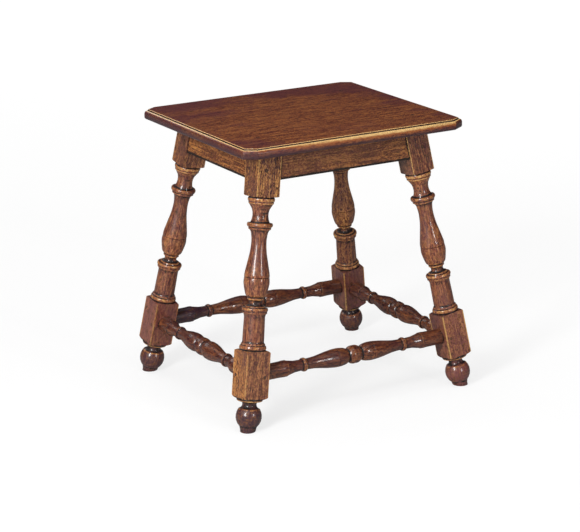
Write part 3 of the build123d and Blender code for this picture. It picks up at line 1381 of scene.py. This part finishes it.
@dataclass
class SeatBoard:
    """The seat board, with cut corners and a moulded edge.

    The moulding's steps are (inwards, outwards from the board) in millimetres. The wear and darkening of the
    side go by the height over its underside, those of the top by the distance in from the edge, and
    the rubbing and painted highlight of the front by X. On the moulding the light lines are partly
    painted highlights and the black quirk is partly painted shade.
    """

    length: float = 482.0
    width: float = 420.0
    corner_x: float = 24.0
    corner_y: float = 15.0
    side_height: float = 4.5
    side_middle: float = 7.5
    side_top: float = 10.5
    bottom_round: float = 4.5
    bottom_parts: int = 5
    ovolo: Point = (4.6, 6.6)
    ovolo_parts: int = 7
    quirk: tuple[Point, ...] = (
        (0.5, -0.1), (0.5, -0.5), (0.5, 0.2), (0.1, 1.9), (0.3, 0.9), (0.6, 0.4), (1.2, 0.0), (2.5, 0.0),
    )
    under_rim: Point = (2.0, 0.0)
    face_area: float = 100000.0
    soft_edge: float = 1.4
    soft_from: float = 25.0
    smooth_to: float = 32.0
    bare_rim: float = 0.2
    corner_slack: float = 0.01
    board: int = 31
    # How much of the front's band of wear and painted highlight shows, along X.
    front_rubbing_and_highlight: tuple[Point, ...] = ((-217.0, 0.3), (-108.0, 0.8), (0.0, 1.0), (108.0, 1.1), (217.0, 0.9))
    side_wear: tuple[Point, ...] = ((4.5, 0.0), (7.5, 0.15))
    side_black: tuple[Point, ...] = ((4.5, 0.85), (7.5, 0.7))
    rubbed_side_black: tuple[Point, ...] = ((4.5, 0.85), (7.5, 0.3))
    ovolo_black: tuple[Point, ...] = ((0.0, 0.45), (3.0, 0.0))
    # The light lines of these tables are partly wear and partly painted highlights; the black quirk is
    # partly wax and partly painted shade.
    wear: tuple[Point, ...] = (
        (0.0, -0.2), (1.8, -0.1), (2.8, 1.0), (3.4, 1.4), (4.8, 1.4), (5.15, -1.0), (6.1, -1.0),
        (6.2, -0.7), (6.5, 1.0), (7.3, 0.9), (8.3, -0.1), (10.0, 0.0),
    )
    front_wear_and_highlight: tuple[Point, ...] = (
        (0.0, 0.4), (0.16, 0.6), (0.5, 0.85), (1.3, 1.0), (2.3, 1.15), (4.4, 1.3), (4.8, 1.0),
        (5.15, -1.0), (6.1, -1.0), (6.2, -0.7), (6.5, 1.3), (7.3, 1.3), (8.3, 0.0), (10.0, 0.0),
    )

    @staticmethod
    def quarter(inward: float, outward: float, parts: int) -> list[Point]:
        """The steps of a quarter round.

        Args:
            inward: How far it goes inwards.
            outward: How far it goes outwards from the board.
            parts: How many steps it has.

        Returns:
            The steps, from the side inwards.
        """
        angles = [math.pi / 2 * i / parts for i in range(parts + 1)]
        turns = [(math.cos(angle), math.sin(angle)) for angle in angles]
        return [(inward * (a[0] - b[0]), outward * (b[1] - a[1])) for a, b in zip(turns, turns[1:])]

    def build(self, finish: Finish) -> None:
        """Makes the board and dresses it.

        Args:
            finish: The finish of the seat.
        """
        bottom = PLAN.frame_height
        squash = self.corner_y / self.corner_x
        seat = start_piece("seat_board", 1.0)
        bpy.ops.transform.resize(value=(self.length * squash * MM, self.width * MM, 1))
        bpy.ops.mesh.bevel(offset=self.corner_y * MM, offset_type="OFFSET", segments=1, affect="VERTICES")
        pick_all()
        bpy.ops.transform.resize(value=(1 / squash, 1, 1))
        front = (SLACK - self.width / 2) * MM
        pick(seat, edges=lambda edge: all(vertex.co.y < front for vertex in edge.verts))
        bpy.ops.mesh.subdivide(number_cuts=len(self.front_rubbing_and_highlight) - 2)
        pick_all()
        bpy.ops.transform.translate(value=(0, 0, (bottom + self.side_height) * MM))
        for rise in (self.side_middle - self.side_height, self.side_top - self.side_middle):
            bpy.ops.mesh.extrude_region_move(TRANSFORM_OT_translate={"value": (0, 0, rise * MM)})
        pick_all()
        bpy.ops.mesh.normals_make_consistent(inside=False)
        above = self.quarter(*self.ovolo, self.ovolo_parts)
        below = self.quarter(self.bottom_round, self.bottom_round, self.bottom_parts)
        self.run_moulding(seat, [*above, *self.quirk], 1)
        self.run_moulding(seat, [*below, self.under_rim], -1)
        self.soften(seat)
        smooth(seat, self.smooth_to)
        middle = bottom + PLAN.seat_thickness / 2
        mark(seat, self.board, lambda point: Vector((point.y, point.z - middle, point.x)), self.age)
        dress(seat, "seat_top", finish)

    def age(self, point: Vector) -> Age:
        """The board's age: rubbed arrises, partly painted highlights, wax and painted shade in the quirk,
        a darker side and a bare underside.

        Args:
            point: A point of the board, in millimetres.

        Returns:
            The age there.
        """
        from_end = self.length / 2 - abs(point.x)
        from_side = self.width / 2 - abs(point.y)
        x, y = self.corner_x, self.corner_y
        from_corner = (from_end * y + from_side * x - x * y) / math.hypot(x, y)
        inward = min(from_end, from_side, from_corner)
        at_front = point.y < 0 and from_side < min(from_end, from_corner) + self.corner_slack
        rubbed = between(self.front_rubbing_and_highlight, point.x) if at_front else 0.0
        height = point.z - PLAN.frame_height
        if height < self.side_top - SLACK:
            dirty, rubbed_dirty = (between(t, height) for t in (self.side_black, self.rubbed_side_black))
            black = dirty + (rubbed_dirty - dirty) * rubbed
            bare = float(height < self.bare_rim)
            return Age(relief=rubbed * between(self.side_wear, height), raw=bare, black=black)
        # Light lines are partly painted highlights, the black quirk partly painted shade.
        wear, front_wear_and_highlight = (between(table, inward) for table in (self.wear, self.front_wear_and_highlight))
        black = between(self.ovolo_black, inward) * (1 - rubbed)
        return Age(relief=wear + (front_wear_and_highlight - wear) * rubbed, black=black)

    def soften(self, seat: Piece) -> None:
        """Rounds the sharp edges of the board a little.

        Args:
            seat: The board.
        """
        hold(seat)
        bevel = seat.modifiers.new("soft_edges", "BEVEL")
        bevel.width = self.soft_edge * MM
        bevel.segments = 3
        bevel.limit_method = "ANGLE"
        bevel.angle_limit = math.radians(self.soft_from)
        bevel.harden_normals = False
        bpy.ops.object.modifier_apply(modifier=bevel.name)

    def run_moulding(self, seat: Piece, steps: list[Point], direction: int) -> None:
        """Runs a moulding round the board, one step after the other.

        Args:
            seat: The board, in edit mode.
            steps: The steps, from the side inwards.
            direction: 1 for the top face, -1 for the underside.
        """
        area = self.face_area * MM**2
        for inward, outward in steps:
            pick(seat, faces=lambda f: f.normal.z * direction > ALIGNED and f.calc_area() > area)
            bpy.ops.mesh.inset(thickness=inward * MM, depth=outward * MM)


# Studio


@dataclass(frozen=True)
class SoftBox:
    """A soft studio lamp."""

    name: str
    place: tuple[float, float, float]
    width: float
    height: float
    power: float

    def build(self, target: Vector) -> None:
        """Adds the lamp.

        Args:
            target: The point that it faces.
        """
        data = bpy.data.lights.new(self.name, "AREA")
        data.shape = "RECTANGLE"
        data.size, data.size_y = self.width, self.height
        data.energy = self.power
        lamp = put(self.name, data)
        lamp.location = Vector(self.place)
        lamp.rotation_euler = (target - lamp.location).to_track_quat("-Z", "Y").to_euler()


@dataclass(frozen=True)
class Studio:
    """A plain pale floor, soft light and the camera."""

    camera_place: tuple[float, float, float] = (-2.069456, -3.456649, 1.461477)
    azimuth: float = -30.557
    elevation: float = 16.977
    roll: float = -0.4846
    lens: float = 132.54
    floor_size: float = 40.0
    paper: str = "d8d8d8"
    dim_paper: str = "909090"
    shaded_paper: str = "808080"
    glow_from: tuple[float, float, float] = (-3.0, -1.0, 0.0)
    glow: tuple[float, float, float, float] = (2.0, 8.0, 0.69, 1.0)
    even_light: float = 0.3
    satin_light: float = 0.042
    satin_tint: str = "d4c8f4"
    ceiling_light: float = 0.7
    ceiling_angle: float = 76.0
    ceiling_from: tuple[float, float, float] = (-0.16, 0.04, 1.0)
    lit_point: tuple[float, float, float] = (0.0, 0.0, 0.3)
    lamps: tuple[SoftBox, ...] = (
        SoftBox("left_box", (-2.05, -1.08, 1.4), 0.5, 1.15, 60.0),
        SoftBox("right_box", (0.467, -2.448, 0.95), 0.2, 0.7, 13.5),
        SoftBox("back_box", (-0.5, 2.4, 1.75), 2.0, 0.6, 8.0),
        SoftBox("top_box", (-0.19, -0.29, 2.3), 0.4, 0.4, 8.0),
    )

    def build(self) -> None:
        """Makes the floor, the light and the camera."""
        bpy.context.scene.view_settings.view_transform = "Standard"
        self.make_floor()
        self.make_world()
        self.make_ceiling()
        for lamp in self.lamps:
            lamp.build(Vector(self.lit_point))
        self.make_camera()

    def make_floor(self) -> None:
        """Lays matt white paper, which is evenly pale and keeps the stool's soft shadow."""
        hold()
        bpy.ops.mesh.primitive_plane_add(size=self.floor_size)
        floor = bpy.context.object
        floor.name = floor.data.name = "studio_floor"
        material = bpy.data.materials.new("white_paper_floor")
        tree = empty_tree(material)
        node = partial(add_node, tree)
        seen, satin = self.ray_kinds(tree)
        paper, dim_paper, shaded = (
            node("BsdfDiffuse", (linear(tone),)) for tone in (self.paper, self.dim_paper, self.shaded_paper)
        )
        lit_only = node("MixShader", (satin, paper, dim_paper))
        # The paper glows a little more further from the lamps, so that it is evenly white.
        place = node("TexCoord", out="Object")
        far = node("VectorMath", (place, self.glow_from), "Value", operation="DISTANCE")
        level = node("MapRange", (far, *self.glow))
        glow = node("Emission", (linear("ffffff"), level))
        white = node("AddShader", (shaded, glow))
        node("OutputMaterial", (node("MixShader", (seen, lit_only, white)),))
        floor.data.materials.append(material)

    @staticmethod
    def ray_kinds(tree: Tree) -> tuple[Socket, Socket]:
        """Tells the kinds of ray apart that see the background.

        Args:
            tree: The node tree of the floor or the world.

        Returns:
            Two values that are 1 for a kind of ray and 0 for the others: the rays that see the white
            background, from the camera, through glass or off a mirror, and the rays off a satin surface.
        """
        node = partial(add_node, tree)
        rays = node("LightPath").node.outputs
        camera, through, glossy, sharp = (
            rays[f"Is {kind} Ray"] for kind in ("Camera", "Transmission", "Glossy", "Singular")
        )
        mirrored = node("Math", (glossy, sharp), operation="MULTIPLY")
        direct = node("Math", (camera, through), operation="MAXIMUM")
        seen = node("Math", (direct, mirrored), operation="MAXIMUM")
        return seen, node("Math", (glossy, mirrored), operation="SUBTRACT")

    def make_ceiling(self) -> None:
        """Hangs a wide soft light overhead that reaches the whole floor evenly."""
        data = bpy.data.lights.new("ceiling", "SUN")
        data.energy = self.ceiling_light
        data.angle = math.radians(self.ceiling_angle)
        put("ceiling", data).rotation_euler = Vector(self.ceiling_from).to_track_quat("Z", "Y").to_euler()

    def make_world(self) -> None:
        """Even light from all round, white where it is seen directly.

        Mirror-sharp reflections show the white as well. Satin ones see the dim room, so that no white veil
        lies over the waxed wood.
        """
        world = bpy.data.worlds.new("even_light")
        bpy.context.scene.world = world
        tree = empty_tree(world)
        world.cycles.sampling_method = "NONE"
        node = partial(add_node, tree)
        seen, satin = self.ray_kinds(tree)
        room = node("MapRange", {0: satin, 3: self.even_light, 4: self.satin_light})
        level = node("MapRange", {0: seen, 3: room, 4: 1.0})
        tint = node(
            "Mix", {0: satin, 6: linear("ffffff"), 7: linear(self.satin_tint)}, 2, data_type="RGBA"
        )
        node("OutputWorld", (node("Background", (tint, level)),))

    def make_camera(self) -> None:
        """Sets up the camera at its place, direction and focal length."""
        data = bpy.data.cameras.new("camera")
        data.sensor_width = 36.0
        data.lens = self.lens
        camera = put("camera", data)
        a, e, r = (math.radians(v) for v in (self.azimuth, self.elevation, self.roll))
        back = Vector((math.sin(a) * math.cos(e), -math.cos(a) * math.cos(e), math.sin(e)))
        level = Vector((math.cos(a), math.sin(a), 0))
        rise = back.cross(level)
        right = level * math.cos(r) + rise * math.sin(r)
        up = rise * math.cos(r) - level * math.sin(r)
        turned = Matrix((right, up, back)).transposed().to_4x4()
        camera.matrix_world = Matrix.Translation(self.camera_place) @ turned
        bpy.context.scene.camera = camera


# The whole stool


class Finishes:
    """The finishes of the stool's pieces."""

    # A wide stained board under old polish: even red-brown, darker to its corners, with a soft gloss. Its
    # cream worn colour is also the painted highlight on the moulding.
    seat = OldWood(
        name="polished_stained_hardwood_seat",
        polished=("562611", "804422", "9a5e2c"),
        stain="54222a",
        thinned="8c4c20",
        worn="d4b074",
        grime_and_shade="160a0a",
        blackened="301822",
        tone_spread=0.06,
        wear_unevenness=0.15,
        hole_spacing=60.0,
        streaks=Figure(7.0, 110.0, 3.0),
        fibres=Figure(2.2, 24.0, 2.0),
        fibre_share=0.7,
        pores=Figure(2.0, 12.0, 2.0),
        pore_share=0.9,
        stain_share=0.7,
        wear=0.9,
        roughness=0.34,
        coat=0.4,
        board_half=(210.0, 241.0),
    )
    # Turned and waxed wood that has dried out in places: strong dark and honey streaks, and open pores.
    leg = OldWood(
        name="waxed_turned_hardwood_legs",
        polished=("4a1e15", "80472f", "aa7040"),
        dried=("401f10", "8c5029", "ca9048"),
        stain="42222e",
        thinned="945a2e",
        worn="c89c5c",
        grime_and_shade="180c0a",
        streaks=Figure(3.6, 60.0, 3.0),
        fibres=Figure(2.4, 14.0, 2.0),
        pores=Figure(2.6, 7.0, 2.0),
        pore_share=0.9,
        wear_unevenness=0.55,
    )
    # Planed boards, waxed and dry: golden brown, with long dark lines of open grain.
    apron = OldWood(
        name="waxed_hardwood_aprons",
        polished=("48200f", "743c20", "985c2a"),
        dried=("542a12", "8a5029", "b27638"),
        stain="58281e",
        thinned="90582a",
        worn="c8944c",
        grime_and_shade="20120a",
        streaks=Figure(6.0, 50.0, 3.0),
        fibres=Figure(2.4, 14.0, 2.0),
    )
    # Turned wood under thick dark wax, rubbed by feet: deep brown, glossy, with paler rings.
    stretcher = OldWood(
        name="rubbed_dark_hardwood_stretchers",
        polished=("32140e", "5e2f1c", "844e2a"),
        stain="3a1c28",
        thinned="84502a",
        worn="c89c60",
        grime_and_shade="160c0a",
        streaks=Figure(4.5, 50.0, 3.0),
        roughness=0.33,
    )
    # Riven pins seen on their end grain: dark, fine and dull.
    peg = OldWood(
        name="riven_hardwood_pegs",
        polished=("2c1408", "54301a", "6c4224"),
        stain="301a18",
        thinned="603c20",
        worn="8a6034",
        grime_and_shade="120a08",
        streaks=Figure(1.6, 20.0, 3.0),
        fibres=Figure(1.0, 8.0, 2.0),
        coat=0.3,
    )


def main() -> None:
    """Builds every piece in order, then the studio."""
    logging.basicConfig(level=logging.INFO, format="%(name)s: %(message)s")
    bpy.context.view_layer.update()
    SeatBoard().build(Finishes.seat.make())
    Legs().build(Finishes.leg.make())
    Aprons().build(Finishes.apron.make())
    stretchers = Stretchers()
    stretchers.build(Finishes.stretcher.make())
    Pegs().build(Finishes.peg.make(), stretchers.heights)
    Studio().build()


if __name__ == "__main__":
    main()
